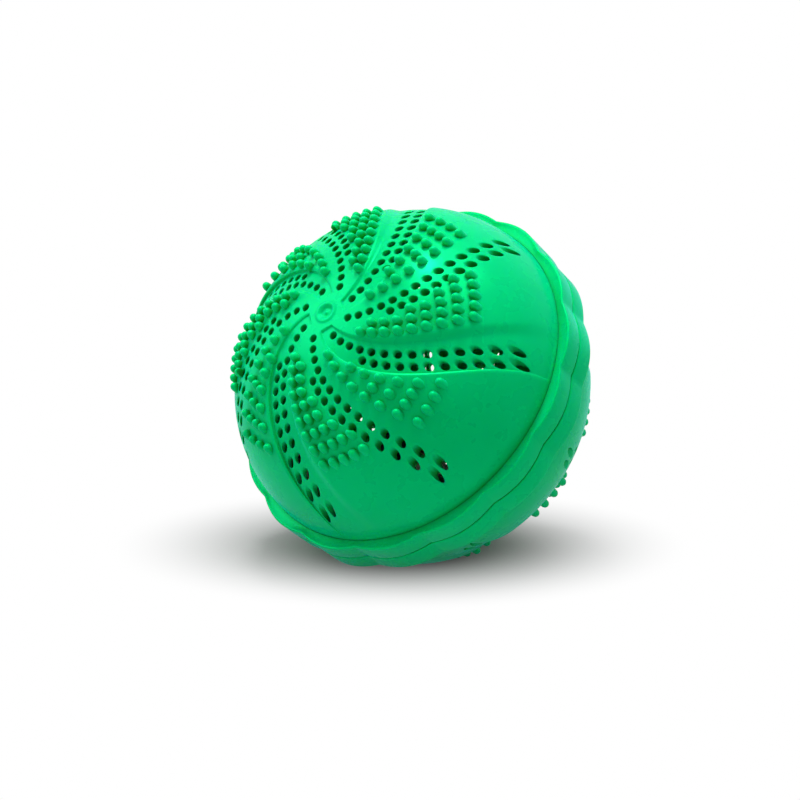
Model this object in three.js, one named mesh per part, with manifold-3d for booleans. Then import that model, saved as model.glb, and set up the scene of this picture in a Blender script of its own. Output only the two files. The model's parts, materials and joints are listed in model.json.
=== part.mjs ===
// A laundry ball: two perforated domes, each snapped into a scalloped band. The front band turns on
// its dome and hooks onto the rear band, so the ball closes around a charge of loose ceramic beads.
// It lies the way it comes to rest, leaning back on the rear dome, with the front dome's axis raised.
import * as THREE from "three";
import { mergeGeometries, mergeVertices } from "three/addons/utils/BufferGeometryUtils.js";
import Module from "manifold-3d";

const wasm = await Module();
wasm.setup();

// Driving dimensions, in millimetres and degrees. Each half is drawn with its own pole up the z axis.
const CLEARANCE = 0.3;
const LEAN = 35;

// The scalloped bands
const BAND_LIP = 3.04;
const BAND_HEIGHT = 5.65;
const LOBES = 16;
const LOBE_DEPTH = 1.2;
const VALLEY_ANGLE = 10.175;
const BAND_CHAMFER = 0.35;

// The domes
const DOME_RADIUS = 46.85;
const DOME_HEIGHT = 40.6;
const DOME_POWER = 2.32;
const WALL = 2.2;
const SHOULDER_DROP = 0.4;
const GROOVE_DEPTH = 2.4;
const FOOT_WALL = 1.6;
const FOOT_HEIGHT = 7;
const FLANGE_REACH = 0.9;
const FLANGE_HEIGHT = 1;

// The rows of holes: eight arms that sweep round the dome, each with a long and a short row.
// A line's bearing grows with the root of the radius: angle + sweep * sqrt(r) - ease * r.
const ARMS = 8;
const PATTERN_TURN = 7.625;
const HOLE_DIAMETER = 1.95;
const DRILLED_WALLS = 3;
const LONG_ROW = { count: 14, start: 7.45, edge: 3.59, angle: -105.84, sweep: 18.85, ease: 0.403 };
const SHORT_ROW = { count: 11, start: 18.28, edge: 2.88, angle: -116.45, sweep: 18.01, ease: 0.136 };

// Four of the arms lie in channels: a crisp wall, a floor and a ramp back up to the dome
const CHANNELS = 4;
const CHANNEL_DEPTH = 1.49;
const CHANNEL_EDGE = 1.3;
const WALL_LINE = { start: 5.3, angle: -135.81, sweep: 21.354, ease: 0.263 };
const FLOOR_LINE = { start: 4.6, angle: -72.94, sweep: 11.2, ease: 0 };
const RAMP_LINE = { start: 4.7, angle: -70.66, sweep: 12.13, ease: 0 };

// Scrubbing studs in a dense and a sparse patch beside each channel, set out in arcs from the hub outwards
const STUD_DIAMETER = 2.44;
const STUD_HEIGHT = 2;
const STUD_ROOT = 1.8;
const DENSE_COUNTS = [1, 2, 2, 2, 3, 3, 4, 5, 5];
const DENSE_ARCS = { start: 13.7, pitch: 2.87, spacing: 2.107, widen: 0.125, drop: 1.615, ease: 0.175 };
const DENSE_LINE = { angle: -71.75, sweep: 12.91, ease: 0 };
const SPARSE_COUNTS = [1, 1, 2, 2, 3, 3, 4, 4];
const SPARSE_ARCS = { start: 12.83, pitch: 3.487, drop: 0.754, ease: -0.098 };
const SPARSE_FIRST = { angle: -82.62, sweep: 0, ease: -1.132 };
const SPARSE_LAST = { angle: -81.74, sweep: 0, ease: -1.562 };

// The bayonet: hooked tabs of the rear band in pockets of the front band, locked by a turn of one lobe
const TABS = 4;
const TAB_ANGLE = 8;
const HOOK_REACH = 1.1;
const HOOK_HEIGHT = 1.1;
const STEM_WALL = 0.8;
const LEDGE_HEIGHT = 1.2;
const TURN = 360 / LOBES;

// The beads: rings of ceramic balls round the lowest point of the chamber
const BEAD_DIAMETER = 9.6;
const BEAD_GAP = 2 * CLEARANCE;
const BEAD_RINGS = 4;
const BEAD_KINDS = ["red", "grey", "ivory", "dark"];

// Fineness of the faceted surfaces
const ROUND_STEPS = 32;
const INSIDE_STEPS = 24;
const OUTER_STEPS = 6;
const INNER_STEPS = 5;
const LOBE_STEPS = 4;
const ARC_STEPS = 3;
const HOLE_SIDES = 4;
const STUD_SIDES = 4;
const CHANNEL_STEPS = 5;
const BEAD_SIDES = 6;
const BEAD_LAYERS = 4;
const WELD = 1e-4;

// Sizes that follow from them
const seam = CLEARANCE / 2;
const bandTop = seam + BAND_HEIGHT;
const shoulder = bandTop - SHOULDER_DROP;
const domeEdge = domeRadiusAt(shoulder);
const rimRadius = domeEdge + CLEARANCE + BAND_LIP;
const footRadius = domeEdge - GROOVE_DEPTH;
const footInner = footRadius - FOOT_WALL;
const flangeRadius = footRadius + FLANGE_REACH;
const flangeTop = seam + FLANGE_HEIGHT;
const ledgeBottom = flangeTop + CLEARANCE;
const ledgeTop = ledgeBottom + LEDGE_HEIGHT;
const hookBottom = ledgeTop + CLEARANCE;
const hookTop = hookBottom + HOOK_HEIGHT;
const hookInner = flangeRadius + CLEARANCE;
const stemInner = hookInner + HOOK_REACH;
const stemOuter = stemInner + STEM_WALL;
const overcut = 1;

const green = new THREE.MeshStandardMaterial({ color: 0x12b26c, roughness: 0.38, metalness: 0 });
const beadMaterials = {
  red: new THREE.MeshStandardMaterial({ color: 0x9a5a40, roughness: 0.75, metalness: 0 }),
  grey: new THREE.MeshStandardMaterial({ color: 0x8d9088, roughness: 0.75, metalness: 0 }),
  ivory: new THREE.MeshStandardMaterial({ color: 0xe6dfcc, roughness: 0.7, metalness: 0 }),
  dark: new THREE.MeshStandardMaterial({ color: 0x3a3632, roughness: 0.7, metalness: 0 }),
};

function radians(angle) {
  return THREE.MathUtils.degToRad(angle);
}

// The domes are superellipses of revolution: (r / radius)^power + (z / height)^power = 1.
function domeRadiusAt(z) {
  return DOME_RADIUS * (1 - (z / DOME_HEIGHT) ** DOME_POWER) ** (1 / DOME_POWER);
}

function domeHeightAt(r) {
  return DOME_HEIGHT * (1 - (r / DOME_RADIUS) ** DOME_POWER) ** (1 / DOME_POWER);
}

function domeCurve(inset, lowest, steps) {
  const height = DOME_HEIGHT - inset;
  const end = Math.acos((lowest / height) ** (DOME_POWER / 2));
  const points = [];
  for (let i = 0; i <= steps; i += 1) {
    const t = (end * i) / steps;
    const r = (DOME_RADIUS - inset) * Math.sin(t) ** (2 / DOME_POWER);
    const z = height * Math.cos(t) ** (2 / DOME_POWER);
    points.push([r, z]);
  }
  return points;
}

// A closed mesh as a solid for joining and cutting
function solidOf(geometry) {
  const bare = geometry.clone();
  bare.deleteAttribute("normal");
  bare.deleteAttribute("uv");
  const merged = mergeVertices(bare, WELD);
  const corners = merged.index.array;
  const kept = [];
  for (let i = 0; i < corners.length; i += 3) {
    const [a, b, c] = corners.slice(i, i + 3);
    if (a !== b && b !== c && c !== a) kept.push(a, b, c);
  }
  const vertProperties = merged.attributes.position.array;
  return new wasm.Manifold(new wasm.Mesh({ numProp: 3, vertProperties, triVerts: new Uint32Array(kept) }));
}

function geometryOf(solid) {
  const mesh = solid.getMesh();
  const geometry = new THREE.BufferGeometry();
  geometry.setAttribute("position", new THREE.BufferAttribute(mesh.vertProperties, 3));
  geometry.setIndex(new THREE.BufferAttribute(mesh.triVerts, 1));
  geometry.computeVertexNormals();
  return geometry;
}

function meshOf(name, geometry, material) {
  const mesh = new THREE.Mesh(geometry, material);
  mesh.name = name;
  return mesh;
}

function turned(profile, steps) {
  const points = profile.map(([r, z]) => new THREE.Vector2(r, z));
  return new THREE.LatheGeometry(points, steps).rotateX(Math.PI / 2);
}

// A block between two radii, two angles and two heights
function sector(inner, outer, from, to, bottom, top) {
  const shape = new THREE.Shape();
  shape.absarc(0, 0, outer, radians(from), radians(to), false);
  shape.absarc(0, 0, inner, radians(to), radians(from), true);
  shape.closePath();
  const options = { depth: top - bottom, bevelEnabled: false, curveSegments: ARC_STEPS };
  return solidOf(new THREE.ExtrudeGeometry(shape, options).translate(0, 0, bottom));
}

function polar(r, angle, z) {
  return [r * Math.cos(radians(angle)), r * Math.sin(radians(angle)), z];
}

function bearing(line, r) {
  return PATTERN_TURN + line.angle + line.sweep * Math.sqrt(r) - line.ease * r;
}

// Distance from the middle to the corners of a polygon with the area of a round section
function cornerRadius(diameter, sides) {
  const share = (sides / (2 * Math.PI)) * Math.sin((2 * Math.PI) / sides);
  return diameter / 2 / Math.sqrt(share);
}

// The holes run along the dome's axis. Each is a prism with the open area of a round hole.
function holePrisms() {
  const corner = cornerRadius(HOLE_DIAMETER, HOLE_SIDES);
  const prisms = [];
  for (let arm = 0; arm < ARMS; arm += 1) {
    for (const row of [LONG_ROW, SHORT_ROW]) {
      const pitch = (domeEdge - row.edge - row.start) / (row.count - 1);
      for (let i = 0; i < row.count; i += 1) {
        const r = row.start + pitch * i;
        const angle = (360 / ARMS) * arm + bearing(row, r);
        const top = domeHeightAt(r - corner) + overcut;
        const bottom = Math.max(domeHeightAt(r + corner) - DRILLED_WALLS * WALL, FOOT_HEIGHT + overcut);
        const prism = new THREE.CylinderGeometry(corner, corner, top - bottom, HOLE_SIDES);
        prism.rotateX(Math.PI / 2).rotateZ(radians(angle));
        prisms.push(prism.translate(...polar(r, angle, (top + bottom) / 2)));
      }
    }
  }
  return prisms;
}

// A channel's cutter: sections across the channel, from above its wall down to the floor and up the ramp
function channelCutter(turn) {
  const points = [];
  const corners = [];
  const reach = domeEdge - CHANNEL_EDGE;
  const above = CHANNEL_DEPTH + overcut;
  const lines = [WALL_LINE, WALL_LINE, FLOOR_LINE, RAMP_LINE, RAMP_LINE];
  const lifts = [above, -CHANNEL_DEPTH, -CHANNEL_DEPTH, 0, above];
  const sides = lines.length;
  for (let i = 0; i <= CHANNEL_STEPS; i += 1) {
    lines.forEach((line, side) => {
      const r = line.start + (reach - line.start) * Math.sin((Math.PI * i) / (2 * CHANNEL_STEPS));
      points.push(...polar(r, turn + bearing(line, r), domeHeightAt(r) + lifts[side]));
      if (i === CHANNEL_STEPS) return;
      const here = sides * i + side;
      const beside = sides * i + ((side + 1) % sides);
      corners.push(here, beside, beside + sides, here, beside + sides, here + sides);
    });
  }
  const end = sides * CHANNEL_STEPS;
  for (let side = 1; side < sides - 1; side += 1) {
    corners.push(0, side + 1, side, end, end + side, end + side + 1);
  }
  const cutter = new THREE.BufferGeometry();
  cutter.setAttribute("position", new THREE.Float32BufferAttribute(points, 3));
  cutter.setIndex(corners);
  return solidOf(cutter);
}

// A stud along the axis, rooted under the dome's surface: a square peg with the section of a round one
function stud(r, angle) {
  const length = STUD_HEIGHT + STUD_ROOT;
  const side = cornerRadius(STUD_DIAMETER, STUD_SIDES) * Math.SQRT2;
  const peg = new THREE.BoxGeometry(side, side, length).rotateZ(radians(angle));
  return solidOf(peg.translate(...polar(r, angle, domeHeightAt(r) + STUD_HEIGHT - length / 2)));
}

function denseStuds(turn) {
  return DENSE_COUNTS.flatMap((count, arc) => {
    const start = DENSE_ARCS.start + DENSE_ARCS.pitch * arc;
    const spacing = DENSE_ARCS.spacing + DENSE_ARCS.widen * arc;
    const drop = DENSE_ARCS.drop - DENSE_ARCS.ease * arc;
    const step = THREE.MathUtils.radToDeg(spacing / start);
    const place = (_, i) => stud(start - drop * i, turn + bearing(DENSE_LINE, start) + step * i);
    return Array.from({ length: count }, place);
  });
}

function sparseStuds(turn) {
  return SPARSE_COUNTS.flatMap((count, arc) => {
    const start = SPARSE_ARCS.start + SPARSE_ARCS.pitch * arc;
    const drop = SPARSE_ARCS.drop - SPARSE_ARCS.ease * arc;
    const first = bearing(SPARSE_FIRST, start);
    const last = bearing(SPARSE_LAST, start);
    const place = (_, i) => {
      const share = i / Math.max(count - 1, 1);
      return stud(start - drop * share, turn + first + (last - first) * share);
    };
    return Array.from({ length: count }, place);
  });
}

// One moulding for both halves: shell, shoulder over the band, groove for the band and flange at the foot
function dome() {
  const outside = [
    [0, seam],
    [flangeRadius, seam],
    [flangeRadius, flangeTop],
    [footRadius, flangeTop],
    [footRadius, shoulder],
    ...domeCurve(0, shoulder, OUTER_STEPS).reverse(),
  ];
  const inside = [
    [0, seam - overcut],
    [footInner, seam - overcut],
    [footInner, FOOT_HEIGHT],
    ...domeCurve(WALL, FOOT_HEIGHT, INNER_STEPS).reverse(),
  ];
  const shell = solidOf(turned(outside, ROUND_STEPS)).subtract(solidOf(turned(inside, INSIDE_STEPS)));
  const turns = Array.from({ length: CHANNELS }, (_, i) => (360 * i) / CHANNELS);
  const channels = wasm.Manifold.union(turns.map(channelCutter));
  const studs = wasm.Manifold.union(turns.flatMap((turn) => [...denseStuds(turn), ...sparseStuds(turn)]));
  const holes = solidOf(mergeGeometries(holePrisms()));
  return shell.subtract(channels).add(studs).subtract(holes);
}

function scallopShape() {
  const shape = new THREE.Shape();
  const steps = LOBES * LOBE_STEPS;
  for (let i = 0; i < steps; i += 1) {
    const crest = Math.abs(Math.sin((Math.PI * i) / LOBE_STEPS));
    const r = rimRadius - LOBE_DEPTH * (1 - crest);
    const [x, y] = polar(r, VALLEY_ANGLE + (360 * i) / steps, 0);
    if (i === 0) shape.moveTo(x, y);
    else shape.lineTo(x, y);
  }
  shape.closePath();
  return shape;
}

// A band: the scalloped rim with a stepped bore that fits the dome's flange, groove and shoulder
function band() {
  const options = {
    depth: BAND_HEIGHT - 2 * BAND_CHAMFER,
    bevelSize: BAND_CHAMFER,
    bevelOffset: -BAND_CHAMFER,
    bevelThickness: BAND_CHAMFER,
    bevelSegments: 1,
  };
  const rim = new THREE.ExtrudeGeometry(scallopShape(), options).translate(0, 0, seam + BAND_CHAMFER);
  const bore = [
    [0, seam - overcut],
    [flangeRadius + CLEARANCE, seam - overcut],
    [flangeRadius + CLEARANCE, ledgeBottom],
    [footRadius + CLEARANCE, ledgeBottom],
    [footRadius + CLEARANCE, shoulder - CLEARANCE],
    [domeEdge + CLEARANCE, shoulder - CLEARANCE],
    [domeEdge + CLEARANCE, bandTop + overcut],
    [0, bandTop + overcut],
  ];
  return solidOf(rim).subtract(solidOf(turned(bore, ROUND_STEPS)));
}

function lockingBand() {
  const slack = THREE.MathUtils.radToDeg(CLEARANCE / hookInner);
  const roof = hookTop + CLEARANCE;
  const throat = stemInner - CLEARANCE;
  let ring = band();
  for (let i = 0; i < TABS; i += 1) {
    const from = VALLEY_ANGLE + (360 * i) / TABS - slack;
    const open = from + TAB_ANGLE + 2 * slack;
    const end = open + TURN;
    const entry = sector(flangeRadius, stemOuter + CLEARANCE, from, open, seam - overcut, roof);
    const stemWay = sector(throat, stemOuter + CLEARANCE, from, end, seam - overcut, roof);
    const hookWay = sector(flangeRadius, stemOuter + CLEARANCE, from, end, ledgeTop, roof);
    ring = ring.subtract(entry.add(stemWay).add(hookWay));
  }
  return ring;
}

function baseBand() {
  let ring = band().mirror([0, 0, 1]);
  for (let i = 0; i < TABS; i += 1) {
    const from = VALLEY_ANGLE + (360 * i) / TABS;
    const to = from + TAB_ANGLE;
    const stem = sector(stemInner, stemOuter, from, to, -ledgeBottom, hookTop);
    const hook = sector(hookInner, stemOuter, from, to, hookBottom, hookTop);
    ring = ring.add(stem.add(hook));
  }
  return ring;
}

// Distance from the ball's centre to the chamber's wall, in a direction at some height above the seam plane
function chamberReach(direction) {
  const across = Math.hypot(direction.x, direction.y);
  const along = Math.abs(direction.z);
  const shell = (across / (DOME_RADIUS - WALL)) ** DOME_POWER + (along / (DOME_HEIGHT - WALL)) ** DOME_POWER;
  return Math.min(shell ** (-1 / DOME_POWER), footInner / across);
}

// Beads lie in rings round the lowest point, spaced for the nearest wall
function beadPlaces() {
  const down = new THREE.Vector3(0, -Math.cos(radians(LEAN)), -Math.sin(radians(LEAN)));
  const side = new THREE.Vector3(1, 0, 0);
  const ahead = new THREE.Vector3().crossVectors(down, side);
  const seat = BEAD_DIAMETER / 2 + BEAD_GAP;
  const nearest = DOME_HEIGHT - WALL - seat;
  const pitch = (BEAD_DIAMETER + BEAD_GAP) / nearest;
  const places = [];
  for (let ring = 0; ring < BEAD_RINGS; ring += 1) {
    const tilt = pitch * ring;
    const count = Math.max(1, Math.floor((2 * Math.PI * Math.sin(tilt)) / pitch));
    for (let i = 0; i < count; i += 1) {
      const turn = (2 * Math.PI * (i + ring / BEAD_RINGS)) / count;
      const direction = new THREE.Vector3()
        .addScaledVector(down, Math.cos(tilt))
        .addScaledVector(side, Math.sin(tilt) * Math.cos(turn))
        .addScaledVector(ahead, Math.sin(tilt) * Math.sin(turn));
      places.push(direction.clone().multiplyScalar(chamberReach(direction) - seat));
    }
  }
  return places;
}

function bead(index, place) {
  const kind = BEAD_KINDS[index % BEAD_KINDS.length];
  const number = String(index + 1).padStart(2, "0");
  const mesh = meshOf(`bead_${kind}_${number}`, beadBall, beadMaterials[kind]);
  mesh.position.copy(place);
  return mesh;
}

const shell = geometryOf(dome());
const beadBall = new THREE.SphereGeometry(BEAD_DIAMETER / 2, BEAD_SIDES, BEAD_LAYERS);
const ball = new THREE.Group();
ball.add(meshOf("front_dome", shell, green));

// The rear dome is the same moulding turned over about a line through a crest of the rim
const rearDome = meshOf("rear_dome", shell, green);
const flip = new THREE.Vector3(...polar(1, VALLEY_ANGLE + TURN / 2, 0));
rearDome.quaternion.setFromAxisAngle(flip, Math.PI);
ball.add(rearDome);

ball.add(meshOf("locking_band", geometryOf(lockingBand()), green));
ball.add(meshOf("base_band", geometryOf(baseBand()), green));
beadPlaces().forEach((place, index) => ball.add(bead(index, place)));

// Lay the ball down: the front pole leans from straight ahead (-y) up by the lean
ball.rotation.x = radians(90 - LEAN);
const laundryBall = new THREE.Group();
laundryBall.add(ball);
const box = new THREE.Box3().setFromObject(laundryBall, true);
const middle = box.getCenter(new THREE.Vector3());
ball.position.set(-middle.x, -middle.y, -box.min.z);

export default laundryBall;
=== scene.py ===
# %% [markdown]
# # A laundry ball
# The real ball is made of two perforated plastic domes, each snapped into a scalloped band, with loose
# ceramic beads shut inside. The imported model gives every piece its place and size. This lesson builds the
# finished surfaces over it with numpy, one kind of piece at a time, and then lights and frames the ball.

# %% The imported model
import json

import bmesh
import bpy
import numpy as np
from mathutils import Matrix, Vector


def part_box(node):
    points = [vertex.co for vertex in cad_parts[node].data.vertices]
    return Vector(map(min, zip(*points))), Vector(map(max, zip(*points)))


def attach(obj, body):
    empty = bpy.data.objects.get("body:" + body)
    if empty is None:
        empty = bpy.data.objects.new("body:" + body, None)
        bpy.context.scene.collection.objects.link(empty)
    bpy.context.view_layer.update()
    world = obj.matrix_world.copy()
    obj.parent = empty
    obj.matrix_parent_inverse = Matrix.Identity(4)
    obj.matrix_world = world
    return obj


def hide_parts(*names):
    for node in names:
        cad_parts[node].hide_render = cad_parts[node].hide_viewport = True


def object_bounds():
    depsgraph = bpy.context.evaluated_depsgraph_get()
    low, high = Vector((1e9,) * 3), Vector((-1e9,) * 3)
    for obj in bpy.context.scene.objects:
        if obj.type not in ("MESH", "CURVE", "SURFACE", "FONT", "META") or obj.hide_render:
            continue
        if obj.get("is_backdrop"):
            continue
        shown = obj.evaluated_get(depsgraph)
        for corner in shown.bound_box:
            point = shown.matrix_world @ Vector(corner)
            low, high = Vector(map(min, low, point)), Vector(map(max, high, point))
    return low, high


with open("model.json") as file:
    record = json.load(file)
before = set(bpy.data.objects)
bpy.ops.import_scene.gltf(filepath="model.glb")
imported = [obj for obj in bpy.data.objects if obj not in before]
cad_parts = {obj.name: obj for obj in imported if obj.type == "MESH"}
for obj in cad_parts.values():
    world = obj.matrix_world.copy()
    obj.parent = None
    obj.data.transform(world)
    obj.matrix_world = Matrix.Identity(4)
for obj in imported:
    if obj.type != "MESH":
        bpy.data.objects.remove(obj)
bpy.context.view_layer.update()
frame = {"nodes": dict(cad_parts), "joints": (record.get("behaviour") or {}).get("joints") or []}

# %% [markdown]
# ## The ball's own axes
# Every green piece is round about one axis, which leans back from the floor. It is easiest to draw such a
# piece upright, in millimetres, with the pole of the front dome up the z axis, and to turn the finished
# points into the room at the end. The hinge of the locking band lies on that axis, so it gives both the
# centre of the ball and the direction of the pole.

# %% From ball axes to the room
MILLIMETRE = 0.001
twist = next(joint for joint in frame["joints"] if joint["name"] == "twist_lock")
ball_centre = np.array(twist["pos_m"])
pole_axis = -np.array(twist["axis"])
side_axis = np.array([1.0, 0.0, 0.0])
rise_axis = np.cross(pole_axis, side_axis)
ball_axes = np.stack([side_axis, rise_axis, pole_axis])


def in_room(points):
    """Millimetres about the ball's centre to metres in the room: centre + x side + y rise + z pole."""
    return ball_centre + MILLIMETRE * (points @ ball_axes)


print("ball centre:", ball_centre.round(5), "pole:", pole_axis.round(4))

# %% [markdown]
# ## From arrays to meshes
# A grid of points becomes faces by joining each point to its neighbours in the next row and column. All the
# round pieces close on themselves from the last column to the first, so the column number wraps. With rows
# running out and down from the pole and columns running anticlockwise, the faces point outwards.
# Joining and cutting solids leaves some corners a hair apart. They are welded, so that no sliver stays.


# %% Faces of a grid
def ring_quads(rows, columns, wrap_rows=False):
    """Quads between rows i, i + 1 and columns j, j + 1, columns wrapping, and rows too where asked."""
    row = np.arange(rows if wrap_rows else rows - 1)[:, None]
    column = np.arange(columns)[None, :]
    below = ((row + 1) % rows) * columns
    beside = (column + 1) % columns
    corners = [row * columns + column, below + column, below + beside, row * columns + beside]
    return np.stack(corners, axis=-1).reshape(-1, 4)


def repeated(faces, copies, corners):
    """The same faces for each of several copies of a shape, whose points follow one another."""
    return (faces[None] + corners * np.arange(copies)[:, None, None]).reshape(-1, faces.shape[1])


def made(name, points, face_lists):
    """A mesh object from points and lists of faces, which count the points from 0."""
    mesh = bpy.data.meshes.new(name)
    faces = [face for part in face_lists for face in part.tolist()]
    mesh.from_pydata(points.reshape(-1, 3).tolist(), [], faces)
    mesh.validate()
    piece = bpy.data.objects.new(name, mesh)
    bpy.context.scene.collection.objects.link(piece)
    return piece


CREASE = np.radians(38.0)
WELD = 0.01


def smoothed(mesh):
    """Smooth shading that stays crisp at edges sharper than the crease angle."""
    mesh.polygons.foreach_set("use_smooth", np.ones(len(mesh.polygons), bool))
    mesh.set_sharp_from_angle(angle=CREASE)
    mesh.update()


def welded(mesh):
    """The mesh with corners closer than WELD joined, and the needle faces between them dissolved."""
    shape = bmesh.new()
    shape.from_mesh(mesh)
    bmesh.ops.remove_doubles(shape, verts=shape.verts, dist=WELD)
    bmesh.ops.dissolve_degenerate(shape, edges=shape.edges, dist=WELD)
    shape.to_mesh(mesh)
    shape.free()
    return mesh


def combined(name, body, tools):
    """The body's mesh after each tool is joined to it or cut from it, with the tools removed."""
    for tool, operation in tools:
        step = body.modifiers.new(operation.lower(), "BOOLEAN")
        step.operation = operation
        step.solver = "MANIFOLD"
        step.object = tool
    graph = bpy.context.evaluated_depsgraph_get()
    mesh = bpy.data.meshes.new_from_object(body.evaluated_get(graph))
    mesh.name = name
    for leftover in [body] + [tool for tool, _ in tools]:
        spare = leftover.data
        bpy.data.objects.remove(leftover)
        bpy.data.meshes.remove(spare)
    smoothed(welded(mesh))
    print(name, "has", sum(len(face.vertices) - 2 for face in mesh.polygons), "triangles")
    return mesh


def placed(name, mesh, body, replaced):
    """An object for a finished mesh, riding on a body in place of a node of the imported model."""
    piece = bpy.data.objects.new(name, mesh)
    bpy.context.scene.collection.objects.link(piece)
    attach(piece, body)
    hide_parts(replaced)
    return piece


# %% [markdown]
# ## The curve of the dome
# The dome is a little fuller than half an ellipse: its outline is a superellipse, whose power is a bit
# above two. A profile turned about the axis could give the plain shell, but the channels, holes and
# studs all run along the moulding direction, parallel to the axis. So the outside is treated as a
# height over each point of the seam plane, and relief is added to or taken from that height.

# %% Height of the dome
DOME_RADIUS = 46.85
DOME_HEIGHT = 40.6
DOME_POWER = 2.32
WALL = 2.2
SEAM = 0.15
SHOULDER = 5.4
BAND_TOP = 5.8


def dome_height(r, inset=0.0):
    """Superellipse: z = H (1 - (r / R)^p)^(1 / p), with both half axes shortened by the inset."""
    share = np.clip(r / (DOME_RADIUS - inset), 0.0, 1.0)
    return (DOME_HEIGHT - inset) * (1.0 - share**DOME_POWER) ** (1.0 / DOME_POWER)


def dome_radius(z, inset=0.0):
    """The same curve solved for the radius: r = R (1 - (z / H)^p)^(1 / p)."""
    share = np.clip(z / (DOME_HEIGHT - inset), 0.0, 1.0)
    return (DOME_RADIUS - inset) * (1.0 - share**DOME_POWER) ** (1.0 / DOME_POWER)


dome_edge = float(dome_radius(SHOULDER))
print("dome edge radius:", round(dome_edge, 2), "mm")

# %% [markdown]
# ## Swept arms
# Seen along the axis, eight arms of holes sweep out from the hub, and four of them lie in sunken channels.
# Each line is an angle that grows with the square root of the radius, and some lines ease off further
# out. A channel has a steep wall on its clockwise side, a floor, and on the other side a ramp back up.
# Its inner end is squared off near the hub, where it is only a third as deep as further out. The wall's
# top edge is well rounded and catches the light along its whole length.

# %% Lines of the channels
QUARTERS = 4
QUARTER = 360.0 / QUARTERS
BEFORE = 20.0
PATTERN_TURN = 7.625
WALL_LINE = (-135.81, 21.354, 0.263)
FLOOR_LINE = (-80.7, 13.23, 0.0)
RAMP_TURN = 3.7
RAMP_FLARE = 2.0
FLARE_RADII = (42.0, 47.0)
CHANNEL_DEPTH = 1.49
WALL_WIDTH = 0.3
FILLET_WIDTH = 0.85
FILLET_DROP = 0.45
END_DISTANCE = 4.56
END_BEARING = -57.4
END_WIDTH = 0.4
CHANNEL_FADE = (5.9, 8.2)
HUB_DEPTH = 0.34
DEPTH_RISE = (6.0, 34.0)


def eased(low, high, value):
    """Smooth step from 0 at low to 1 at high: t^2 (3 - 2 t)."""
    t = np.clip((value - low) / (high - low), 0.0, 1.0)
    return t * t * (3.0 - 2.0 * t)


def swept(line, r):
    """Bearing of a line at a radius, in degrees: angle + sweep sqrt(r) - ease r."""
    angle, sweep, ease = line
    return angle + sweep * np.sqrt(r) - ease * r


def ramp_top_angle(r):
    """Bearing where the ramp meets the dome again: a set turn past the floor, and more at the rim."""
    return swept(FLOOR_LINE, r) + RAMP_TURN + RAMP_FLARE * eased(*FLARE_RADII, r)


def wall_distance(r, turn):
    """Distance across the wall line of a point some degrees past it: r turn cos(lean), where the lean
    of the line is the arc tangent of sweep sqrt(r) / 2 - ease r."""
    _, sweep, ease = WALL_LINE
    lean = np.arctan(np.radians(sweep / 2.0 * np.sqrt(r) - ease * r))
    return r * np.radians(turn) * np.cos(lean)


def end_distance(r, bearing):
    """Distance beyond the squared end of a channel: r cos(turn from the end's bearing) - c."""
    return r * np.cos(np.radians(bearing - END_BEARING)) - END_DISTANCE


def wall_drop(across):
    """Drop over the wall: a parabola down to the line, then a steep fall that levels out at full depth."""
    rounding = np.clip(1.0 + across / FILLET_WIDTH, 0.0, 1.0) ** 2
    fall = 1.0 - np.clip(1.0 - across / WALL_WIDTH, 0.0, 1.0) ** 2
    return FILLET_DROP * rounding + (CHANNEL_DEPTH - FILLET_DROP) * np.where(across > 0.0, fall, 0.0)


def depth_share(r):
    """Share of the full depth: a third at the hub, rising to all of it on the way out."""
    return HUB_DEPTH + (1.0 - HUB_DEPTH) * eased(*DEPTH_RISE, r)


def channel_depth(r, bearing):
    """Depth along the axis: the wall's drop, eased out at the squared end, up the ramp and at the rim."""
    wall_bearing = swept(WALL_LINE, r)
    past_wall = np.mod(bearing - wall_bearing + BEFORE, QUARTER) - BEFORE
    nearest = wall_bearing + past_wall
    ramp = 1.0 - eased(swept(FLOOR_LINE, r), ramp_top_angle(r), nearest)
    end = eased(0.0, END_WIDTH, end_distance(r, nearest))
    wall = wall_drop(wall_distance(r, past_wall)) * depth_share(r)
    return wall * end * ramp * eased(*CHANNEL_FADE, dome_height(r))


# %% [markdown]
# ## The hub
# At the pole there is a shallow dish with a low rim round it and a small rounded peg in the middle, where
# the plastic entered the mould. Two bell curves and an eased step over the radius are enough for that.

# %% Relief at the hub
DISH_RADIUS = 1.75
DISH_DEPTH = 0.55
DISH_EDGE = 0.5
RIM_RING_RADIUS = 2.55
RIM_RING_HEIGHT = 0.22
RIM_RING_WIDTH = 0.42
PEG_RADIUS = 0.5
PEG_HEIGHT = 0.4


def hub_relief(r):
    """Ring - dish + peg: bell curves about the ring's radius and the pole, and an eased dish edge."""
    ring = RIM_RING_HEIGHT * np.exp(-(((r - RIM_RING_RADIUS) / RIM_RING_WIDTH) ** 2))
    dish = DISH_DEPTH * (1.0 - eased(DISH_RADIUS - DISH_EDGE, DISH_RADIUS + DISH_EDGE, r))
    peg = PEG_HEIGHT * np.exp(-((r / PEG_RADIUS) ** 2))
    return ring - dish + peg


def surface_height(r, bearing):
    """Outside of the dome with all its relief, as a height along the axis over radius and bearing."""
    return dome_height(r) + hub_relief(r) - channel_depth(r, bearing)


# %% [markdown]
# ## The shell as one closed grid
# The grid's columns follow the channel walls instead of running straight out from the pole, so each wall
# falls exactly between two columns and stays crisp with few faces. Columns crowd together beside a wall,
# and rows crowd together at the hub. After the outside, the rows go on under the shoulder, round the foot
# with its flange, and up the inside to the inner pole, which closes the solid.

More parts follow.
